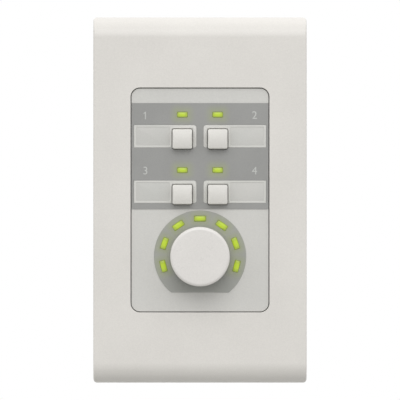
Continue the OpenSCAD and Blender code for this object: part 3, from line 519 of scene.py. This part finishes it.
# Depths of the bumps, and the strength of those that all materials of a kind share
PLASTIC_BUMP = 0.02 * MM
METAL_BUMP = 0.01 * MM
METAL_RELIEF = 0.08
INK_BUMP = 0.01 * MM
INK_RELIEF = 0.1
TRACK_BUMP = 0.03 * MM
TRACK_RELIEF = 0.2

# Surfaces
PLASTIC_IOR = 1.46
COAT_ROUGHNESS = 0.2
LAMP_FILM_ROUGHNESS = 0.46
LENS_ROUGHNESS = 0.28
MASK_ROUGHNESS = 0.32

# Lines of drawn metal along x, y and z, in cells per metre
SHEET_LINES = (9000.0, 900.0, 300.0)
TURNED_LINES = (600.0, 9000.0, 600.0)

# Painted glow of the lamps on the film round them, mixed into the ink's colour: its colour, how far it
# reaches, how it falls off and how much of the ink's colour it takes over at the lamp
PAINTED_GLOW_GREEN = srgb(151, 158, 118)
PAINTED_GLOW_REACH = 3.0 * MM
PAINTED_GLOW_FALL = 1.5
PAINTED_GLOW_SHARE = 0.7


def new_material(name):
    """An empty material with a Principled shader, its tree and that shader."""
    material = bpy.data.materials.new(name)
    material.use_nodes = True
    tree = material.node_tree
    tree.nodes.clear()
    shader = add(tree, "BsdfPrincipled")
    output = add(tree, "OutputMaterial")
    tree.links.new(shader.outputs[0], output.inputs[0])
    return material, tree, shader


def finish_with(tree, shader, group, values, bump_strength, bump_distance):
    """Places a finish group and leads it to the shader, its height through a bump."""
    finish = add(tree, "Group", values, node_tree=group).outputs
    tree.links.new(finish["Color"], shader.inputs["Base Color"])
    tree.links.new(finish["Roughness"], shader.inputs["Roughness"])
    bump = add(
        tree, "Bump",
        {"Strength": bump_strength, "Distance": bump_distance, "Height": finish["Height"]})
    tree.links.new(bump.outputs[0], shader.inputs["Normal"])


def plastic(name, colour, tint, roughness, grain, bump, smudge=0.05, coat=0.0):
    """A moulded plastic."""
    material, tree, shader = new_material(name)
    values = {
        "Color": colour, "Tint": tint, "Grain Scale": grain, "Roughness": roughness, "Smudge": smudge}
    finish_with(tree, shader, MOULDED, values, bump, PLASTIC_BUMP)
    shader.inputs["IOR"].default_value = PLASTIC_IOR
    shader.inputs["Coat Weight"].default_value = coat
    shader.inputs["Coat Roughness"].default_value = COAT_ROUGHNESS
    return material


def metal(name, colour, tint, roughness, lines):
    """A plated or bare metal, with the scales of its lines along x, y and z."""
    material, tree, shader = new_material(name)
    values = {"Color": colour, "Tint": tint, "Line Scale": lines, "Roughness": roughness}
    finish_with(tree, shader, SHEET, values, METAL_RELIEF, METAL_BUMP)
    shader.inputs["Metallic"].default_value = 1.0
    return material


def film(name, colour, tint, roughness):
    """A screen-printed film or a printed figure."""
    material, tree, shader = new_material(name)
    values = {"Color": colour, "Tint": tint, "Roughness": roughness}
    finish_with(tree, shader, FILM, values, INK_RELIEF, INK_BUMP)
    return material


def distance_past(tree, along, half_length, across, half_width):
    """How far a point lies outside a lamp's outline."""
    def past(offset, half):
        over = sums(tree, "SUBTRACT", sums(tree, "ABSOLUTE", offset), half)
        return sums(tree, "MAXIMUM", over)

    return reach_of(tree, past(along, half_length), past(across, half_width))


def from_key_lamps(tree):
    """Distance of a point of the key film from the nearest key lamp."""
    place = add(tree, "SeparateXYZ", {0: add(tree, "TexCoord").outputs["Object"]}).outputs
    upper, lower = middle("key_1"), middle("key_3")
    along = sums(tree, "SUBTRACT", sums(tree, "ABSOLUTE", place["X"]), abs(upper.x))
    half_pitch = (upper.z - lower.z) / 2
    drop = sums(tree, "SUBTRACT", place["Z"], upper.z + LAMP_RISE)
    across = add(tree, "Math", {0: drop, 1: half_pitch, 2: -half_pitch}, operation="WRAP").outputs[0]
    return distance_past(tree, along, KEY_LAMP[0] / 2, across, KEY_LAMP[1] / 2)


def from_dial_lamps(tree):
    """Distance of a point of the dial film from the nearest lamp of the arc."""
    place = add(tree, "SeparateXYZ", {0: add(tree, "TexCoord").outputs["Object"]}).outputs
    rise = sums(tree, "SUBTRACT", place["Z"], middle("knob").z)
    radius = reach_of(tree, place["X"], rise)
    angle = sums(tree, "ARCTAN2", place["X"], rise)
    last = (RING_COUNT - 1) / 2
    nearest = sums(tree, "ROUND", sums(tree, "DIVIDE", angle, RING_STEP))
    nearest = sums(tree, "MAXIMUM", sums(tree, "MINIMUM", nearest, last), -last)
    off = sums(tree, "SUBTRACT", angle, sums(tree, "MULTIPLY", nearest, RING_STEP))
    along = sums(tree, "MULTIPLY", off, radius)
    across = sums(tree, "SUBTRACT", radius, RING_RADIUS)
    return distance_past(tree, along, RING_LAMP[0] / 2, across, RING_LAMP[1] / 2)


def lamp_film(name, colour, tint, from_lamps):
    """Printed film with a painted green glow of the lamps round their windows, mixed into its colour."""
    material = film(name, colour, tint, LAMP_FILM_ROUGHNESS)
    tree = material.node_tree
    shader = next(node for node in tree.nodes if node.type == "BSDF_PRINCIPLED")
    printed = shader.inputs["Base Color"].links[0].from_socket
    # Painted glow: near a lamp, the film's colour is blended towards the lamps' green
    painted_glow_closeness = spread(tree, from_lamps(tree), 0.0, PAINTED_GLOW_REACH, 1.0, 0.0)
    share = sums(tree, "MULTIPLY", sums(tree, "POWER", painted_glow_closeness, PAINTED_GLOW_FALL), PAINTED_GLOW_SHARE)
    tree.links.new(blend_colours(tree, share, printed, PAINTED_GLOW_GREEN), shader.inputs["Base Color"])
    return material


def lens(name, core, rim, strength):
    """A lens that glows; strength is the light that it gives by itself."""
    material, tree, shader = new_material(name)
    glow = add(tree, "Group", {"Core": core, "Rim": rim}, node_tree=GLOW).outputs["Color"]
    tree.links.new(glow, shader.inputs["Base Color"])
    tree.links.new(glow, shader.inputs["Emission Color"])
    shader.inputs["Emission Strength"].default_value = strength
    shader.inputs["Roughness"].default_value = LENS_ROUGHNESS
    return material


def circuit_board(name, colour, track):
    """The solder mask of the circuit board."""
    material, tree, shader = new_material(name)
    values = {"Color": colour, "Track": track, "Roughness": MASK_ROUGHNESS}
    finish_with(tree, shader, MASK, values, TRACK_RELIEF, TRACK_BUMP)
    return material


PLATE_WHITE = plastic("plate_white", srgb(217, 214, 209), srgb(214, 211, 206), 0.34, 1500.0, 0.06)
FRAME_GREY = plastic("frame_grey", srgb(201, 200, 196), srgb(194, 193, 189), 0.55, 1500.0, 0.2)
BEZEL_GREY = plastic("bezel_grey", srgb(203, 202, 198), srgb(200, 199, 195), 0.5, 2200.0, 0.14)
RIM_GREY = plastic("label_rim_grey", srgb(206, 205, 201), srgb(203, 203, 198), 0.36, 2200.0, 0.05)
STRIP_GREY = film("name_strip_paper", srgb(193, 193, 189), srgb(196, 195, 191), 0.62)
KEY_WHITE = plastic(
    "key_white", srgb(215, 213, 208), srgb(211, 209, 204), 0.48, 2400.0, 0.05, smudge=0.08)
KNOB_WHITE = plastic(
    "knob_white", srgb(218, 215, 211), srgb(214, 211, 207), 0.28, 2600.0, 0.08, smudge=0.08, coat=0.8)
# Grey printed films, with a painted glow of their lamps in their colour round the lamp windows
KEY_FILM_PAINTED_GLOW = lamp_film("key_film_ink_painted_glow", srgb(148, 148, 146), srgb(144, 144, 142), from_key_lamps)
DIAL_FILM_PAINTED_GLOW = lamp_film("dial_film_ink_painted_glow", srgb(156, 157, 152), srgb(152, 153, 148), from_dial_lamps)
INK_PALE = film("figure_ink_pale", srgb(190, 191, 188), srgb(185, 186, 183), 0.5)
INK_WHITE = film("figure_ink_white", srgb(235, 235, 230), srgb(225, 225, 220), 0.5)
LENS_LIT = lens("lens_lit", srgb(158, 180, 40), srgb(128, 140, 62), 0.42)
PIPE_GREEN = lens("light_pipe_green", srgb(150, 176, 40), srgb(120, 136, 52), 0.25)
CASE_BLACK = plastic("case_black", srgb(52, 53, 56), srgb(45, 46, 49), 0.55, 1300.0, 0.3)
# The case's plastic with a real gloss on the port figures, and a lighter grey there that is a painted
# sheen
CASE_POLISHED_PAINTED_SHEEN = plastic("case_polished_painted_sheen", srgb(90, 91, 94), srgb(84, 85, 88), 0.26, 1300.0, 0.04)
BLACK_PLASTIC = plastic("jack_black", srgb(25, 25, 28), srgb(21, 22, 25), 0.32, 1800.0, 0.08)
DIP_BLUE = plastic("dip_blue", srgb(38, 74, 132), srgb(32, 64, 118), 0.4, 2600.0, 0.1)
SLIDER_WHITE = plastic("slider_white", srgb(228, 226, 218), srgb(218, 216, 208), 0.4, 2600.0, 0.1)
CHIP_BLACK = plastic("chip_black", srgb(34, 35, 38), srgb(40, 41, 44), 0.6, 3200.0, 0.25)
LAMP_CHIP = plastic("lamp_chip_white", srgb(236, 235, 224), srgb(226, 220, 180), 0.45, 3200.0, 0.1)
PASSIVE_TAN = plastic("passive_tan", srgb(178, 150, 108), srgb(160, 132, 92), 0.5, 3200.0, 0.15)
SCREW_STEEL = metal("screw_steel", srgb(196, 198, 202), srgb(176, 178, 183), 0.32, 3 * (1500.0,))
YOKE_ZINC = metal("yoke_zinc", srgb(190, 194, 198), srgb(168, 172, 178), 0.42, SHEET_LINES)
SHAFT_STEEL = metal("shaft_steel", srgb(198, 199, 200), srgb(182, 184, 186), 0.28, TURNED_LINES)
DIE_CAST = metal("die_cast_zinc", srgb(170, 172, 175), srgb(154, 156, 160), 0.5, 3 * (1200.0,))
SWITCH_STEEL = metal("switch_steel", srgb(200, 202, 204), srgb(186, 188, 190), 0.3, SHEET_LINES)
PIN_TIN = metal("pin_tin", srgb(206, 200, 184), srgb(190, 184, 168), 0.35, 3 * (2000.0,))
CONTACT_GOLD = metal("contact_gold", srgb(236, 196, 100), srgb(220, 178, 84), 0.46, 3 * (2600.0,))
BOARD_GREEN = circuit_board("board_green", srgb(26, 84, 52), srgb(58, 120, 70))


# CAD nodes


def make_smooth_tree():
    """A geometry group that shades every face smooth."""
    tree = bpy.data.node_groups.new("shade_smooth", "GeometryNodeTree")
    tree.interface.new_socket("Geometry", in_out="INPUT", socket_type="NodeSocketGeometry")
    tree.interface.new_socket("Geometry", in_out="OUTPUT", socket_type="NodeSocketGeometry")
    given = tree.nodes.new("NodeGroupInput")
    smooth = tree.nodes.new("GeometryNodeSetShadeSmooth")
    result = tree.nodes.new("NodeGroupOutput")
    tree.links.new(given.outputs[0], smooth.inputs[0])
    tree.links.new(smooth.outputs[0], result.inputs[0])
    return tree


SHADE_SMOOTH = make_smooth_tree()


def soften(node, width):
    """Rounds a node's edges, with modifiers that leave its own mesh as it is."""
    piece = cad[node]
    weld = piece.modifiers.new("weld", "WELD")
    weld.merge_threshold = WELD_DISTANCE
    flat = piece.modifiers.new("join_flats", "DECIMATE")
    flat.decimate_type = "DISSOLVE"
    flat.angle_limit = FLAT_ANGLE
    smooth = piece.modifiers.new("shade_smooth", "NODES")
    smooth.node_group = SHADE_SMOOTH
    bevel = piece.modifiers.new("soft_edges", "BEVEL")
    bevel.width = width
    bevel.segments = ROUND_STEPS
    bevel.limit_method = "ANGLE"
    bevel.angle_limit = BEVEL_ANGLE
    bevel.use_clamp_overlap = False
    bevel.loop_slide = False
    normals = piece.modifiers.new("even_normals", "WEIGHTED_NORMAL")
    normals.weight = NORMAL_WEIGHT


def dress(material, edge, *names):
    """Gives nodes their material and, with an edge above 0, rounded edges."""
    for name in names:
        cad[name].material_slots[0].material = material
        if edge > 0:
            soften(name, edge)


dress(PLATE_WHITE, 0.18 * MM, "wall_plate")
dress(FRAME_GREY, 0.2 * MM, "sub_frame")
dress(BEZEL_GREY, 0.14 * MM, "front_bezel")
dress(KEY_FILM_PAINTED_GLOW, 0.04 * MM, "key_film")
dress(DIAL_FILM_PAINTED_GLOW, 0.04 * MM, "dial_film")
dress(KEY_WHITE, 0, *KEYS)
dress(KNOB_WHITE, 0, "knob")
dress(PIPE_GREEN, 0.05 * MM, "key_light_pipes", "ring_light_guide")
dress(CASE_BLACK, 0.25 * MM, "rear_case")
dress(BLACK_PLASTIC, 0.15 * MM, *JACKS)
dress(BLACK_PLASTIC, 0.1 * MM, "encoder_base", "switch_housings", *PLUNGERS)
dress(DIP_BLUE, 0.1 * MM, "dip_body")
dress(SLIDER_WHITE, 0.1 * MM, *SLIDERS)
dress(CHIP_BLACK, 0.02 * MM, "controller_chip", "driver_chip")
dress(LAMP_CHIP, 0.06 * MM, "key_lamps", "ring_lamps")
dress(PASSIVE_TAN, 0.08 * MM, "board_passives")
dress(SCREW_STEEL, 0.05 * MM, "frame_screws", "board_screws", "case_screws")
dress(YOKE_ZINC, 0.14 * MM, "mounting_yoke")
dress(SHAFT_STEEL, 0.15 * MM, "encoder_shaft")
dress(DIE_CAST, 0.12 * MM, "encoder_bush")
dress(SWITCH_STEEL, 0.05 * MM, "switch_covers")
dress(PIN_TIN, 0.04 * MM, "encoder_pins")
dress(CONTACT_GOLD, 0.04 * MM, "jack_contacts")
dress(BOARD_GREEN, 0.06 * MM, "main_board")


# Pieces of the front


def at_front(x, z, level):
    """Places a flat piece on the front, x across and z up, at a level out of the wall."""
    return FRONT @ Matrix.Translation((x, z, level))


def at_back(x, z, level):
    """Places a flat piece on the back, at the same x and z, at a level into the wall."""
    return BACK @ Matrix.Translation((-x, z, level))


def label_loops(side, key):
    """Outlines of the rim of a label field: its border, open below round the key, and its window."""
    inner = LABEL_WEB / 2 + RIM_SLIT
    outer = LABEL_WEB / 2 + LABEL_LENGTH - RIM_SLIT
    top = LABEL_HEIGHT / 2 - RIM_SLIT
    key_in = abs(key.x) - KEY_CAP / 2 - KEY_REVEAL
    key_out = abs(key.x) + KEY_CAP / 2 + KEY_REVEAL
    key_top = KEY_CAP / 2 - LABEL_RISE + KEY_REVEAL
    small = RIM_WIDTH / 2
    border = [
        (outer, -top, small), (outer, top, small), (inner, top, LABEL_CORNER), (inner, -top, small),
        (key_in, -top, 0), (key_in, key_top, small), (key_out, key_top, small), (key_out, -top, 0)]
    window_from = key_out + RIM_WIDTH
    window_to = outer - RIM_WIDTH
    window = [
        (window_to, -top + RIM_WIDTH, small), (window_to, top - RIM_WIDTH, small),
        (window_from, top - RIM_WIDTH, small), (window_from, -top + RIM_WIDTH, small)]

    def turned(corners):
        return [Vector((side * point.x, point.y)) for point in arc_loop(corners)]

    return turned(border), turned(window)


def make_label(number, key_name):
    """The raised rim of a label field, the paper strip behind its window, and the zone's figure."""
    key = middle(key_name)
    side = 1 if key.x > 0 else -1
    border, window = label_loops(side, key)
    spot = at_front(0, key.z + LABEL_RISE, BEZEL_LEVEL)
    rim = flat_plate("label_rim", [border, window], 0, RIM_RISE, RIM_ROUND)
    add_piece("label_rim_%d" % number, rim, spot, RIM_GREY)
    strip = flat_plate("name_strip", [window], 0, STRIP_RISE, STRIP_RISE / 3)
    add_piece("name_strip_%d" % number, strip, spot, STRIP_GREY)
    digit = figure("zone_figure", number, ZONE_DIGIT_HEIGHT, INK_DEPTH)
    digit_z = key.z + LAMP_RISE - ZONE_DIGIT_DROP
    spot = at_front(side * ZONE_DIGIT_REACH, digit_z, FILM_LEVEL + INK_DEPTH / 2)
    add_piece("zone_figure_%d" % number, digit, spot, INK_PALE)


def make_key_lens(number, key_name):
    """The lit lens above a key."""
    key = middle(key_name)
    mesh = dome("key_lens", *KEY_LAMP, LAMP_CORNER, LAMP_DOME, LAMP_SEAT)
    spot = at_front(key.x, key.z + LAMP_RISE, FILM_LEVEL)
    add_piece("key_lens_%d" % number, mesh, spot, LENS_LIT)


def make_dial_lens(number):
    """One lit lens of the arc round the dial."""
    dial = middle("knob")
    angle = (number - (RING_COUNT + 1) / 2) * RING_STEP
    mesh = dome("dial_lens", *RING_LAMP, LAMP_CORNER, LAMP_DOME, LAMP_SEAT)
    turn = Matrix.Rotation(-angle, 4, "Z") @ Matrix.Translation((0, RING_RADIUS, 0))
    spot = at_front(dial.x, dial.z, FILM_LEVEL) @ turn
    add_piece("dial_lens_%d" % number, mesh, spot, LENS_LIT)


for index, key_name in enumerate(KEYS, 1):
    make_label(index, key_name)
    make_key_lens(index, key_name)

for index in range(1, RING_COUNT + 1):
    make_dial_lens(index)


# Pieces of the back


def make_dip_figures():
    """The figures under the sliders of the switch bank, and ON above the first of them."""
    low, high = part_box("dip_body")
    level = DIP_LEVEL + INK_DEPTH / 2
    for number, slider in enumerate(SLIDERS, 1):
        digit = figure("dip_figure", number, DIP_DIGIT_HEIGHT, INK_DEPTH)
        spot = at_back(middle(slider).x, low.z + DIP_DIGIT_RISE, level)
        add_piece("dip_figure_%d" % number, digit, spot, INK_WHITE)
    word = lettering("dip_on", "ON", DIP_DIGIT_HEIGHT, INK_DEPTH)
    spot = at_back(middle(SLIDERS[0]).x - DIP_WORD_SHIFT, high.z - DIP_WORD_DROP, level)
    add_piece("dip_on", word, spot, INK_WHITE)


def make_port_figures():
    """Moulded figures above the two ports."""
    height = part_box("jack_1")[1].z + PORT_DIGIT_LIFT
    for number, jack in enumerate(JACKS, 1):
        digit = figure("port_figure", number, PORT_DIGIT_HEIGHT, MOULDED_RISE)
        spot = at_back(middle(jack).x, height, CASE_LEVEL + MOULDED_RISE / 3)
        # The figures' lighter grey is a painted sheen
        add_piece("port_figure_%d" % number, digit, spot, CASE_POLISHED_PAINTED_SHEEN)


make_dip_figures()
make_port_figures()


# Stage

WHITE = (1.0, 1.0, 1.0, 1.0)
SKY_LOW = 0.1
SKY_HIGH = 1.44
FLOOR_DROP = 0.3
FLOOR_HALF = 1.6
FLOOR_CLOUD = 3.0
FLOOR_PALE = srgb(246, 246, 244)
FLOOR_TINT = srgb(240, 240, 238)
FLOOR_DIM = srgb(163, 163, 161)
SOFTBOX_POWER = 23.0
SOFTBOX_SIZE = 1.95
SOFTBOX_DISTANCE = 3.0
SOFTBOX_LIFT = math.radians(30)
CAMERA_LENS = 700.0
CAMERA_SENSOR = 36.0
CAMERA_DISTANCE = 2.5592


def make_world():
    """A soft surround, brighter above than below, that the camera and reflections see as plain white."""
    world = bpy.data.worlds.new("studio")
    world.use_nodes = True
    tree = world.node_tree
    tree.nodes.clear()
    height = add(tree, "SeparateXYZ", {0: add(tree, "TexCoord").outputs["Generated"]}).outputs["Z"]
    level = spread(tree, height, -1.0, 1.0, SKY_LOW, SKY_HIGH)
    light = add(tree, "Background", {"Color": WHITE, "Strength": level})
    backdrop = add(tree, "Background", {"Color": WHITE, "Strength": 1.0})
    shown = add(tree, "MixShader", {0: seen_rays(tree), 1: light.outputs[0], 2: backdrop.outputs[0]})
    output = add(tree, "OutputWorld")
    tree.links.new(shown.outputs[0], output.inputs[0])
    scene.world = world


def make_floor():
    """A plain pale floor below the panel, which keeps its shadow."""
    bm = bmesh.new()
    half = FLOOR_HALF
    corners = [(-half, -half), (half, -half), (half, half), (-half, half)]
    bm.faces.new(ring_of(bm, corners, -FLOOR_DROP))
    mesh = bpy.data.meshes.new("floor")
    bm.to_mesh(mesh)
    bm.free()
    material = bpy.data.materials.new("floor_pale")
    material.use_nodes = True
    tree = material.node_tree
    tree.nodes.clear()
    place = add(tree, "TexCoord").outputs["Object"]
    tone = blend_colours(tree, noise(tree, place, FLOOR_CLOUD, 4.0), FLOOR_PALE, FLOOR_TINT)
    pale = add(tree, "BsdfDiffuse", {"Color": tone})
    dim = add(tree, "BsdfDiffuse", {"Color": FLOOR_DIM})
    lit = add(tree, "MixShader", {0: seen_rays(tree), 1: dim.outputs[0], 2: pale.outputs[0]})
    open_below = add(tree, "BsdfTransparent")
    from_below = add(tree, "NewGeometry").outputs["Backfacing"]
    shown = add(tree, "MixShader", {0: from_below, 1: lit.outputs[0], 2: open_below.outputs[0]})
    output = add(tree, "OutputMaterial")
    tree.links.new(shown.outputs[0], output.inputs[0])
    mesh.materials.append(material)
    floor = bpy.data.objects.new("floor", mesh)
    scene.collection.objects.link(floor)


def make_softbox():
    """One large soft lamp, above and in front of the panel."""
    lamp = bpy.data.lights.new("softbox", "AREA")
    lamp.shape = "DISK"
    lamp.size = SOFTBOX_SIZE
    lamp.energy = SOFTBOX_POWER
    holder = bpy.data.objects.new("softbox", lamp)
    toward = Vector((0, -math.cos(SOFTBOX_LIFT), math.sin(SOFTBOX_LIFT)))
    holder.location = toward * SOFTBOX_DISTANCE
    holder.rotation_euler = toward.to_track_quat("Z", "Y").to_euler()
    scene.collection.objects.link(holder)


def make_camera():
    """A long lens square on to the front."""
    lens_data = bpy.data.cameras.new("portrait")
    lens_data.lens = CAMERA_LENS
    lens_data.sensor_width = CAMERA_SENSOR
    holder = bpy.data.objects.new("portrait", lens_data)
    holder.location = (0, -CAMERA_DISTANCE, 0)
    holder.rotation_euler = (math.radians(90), 0, 0)
    scene.collection.objects.link(holder)
    scene.camera = holder


make_world()
make_floor()
make_softbox()
make_camera()
scene.view_settings.view_transform = "Standard"
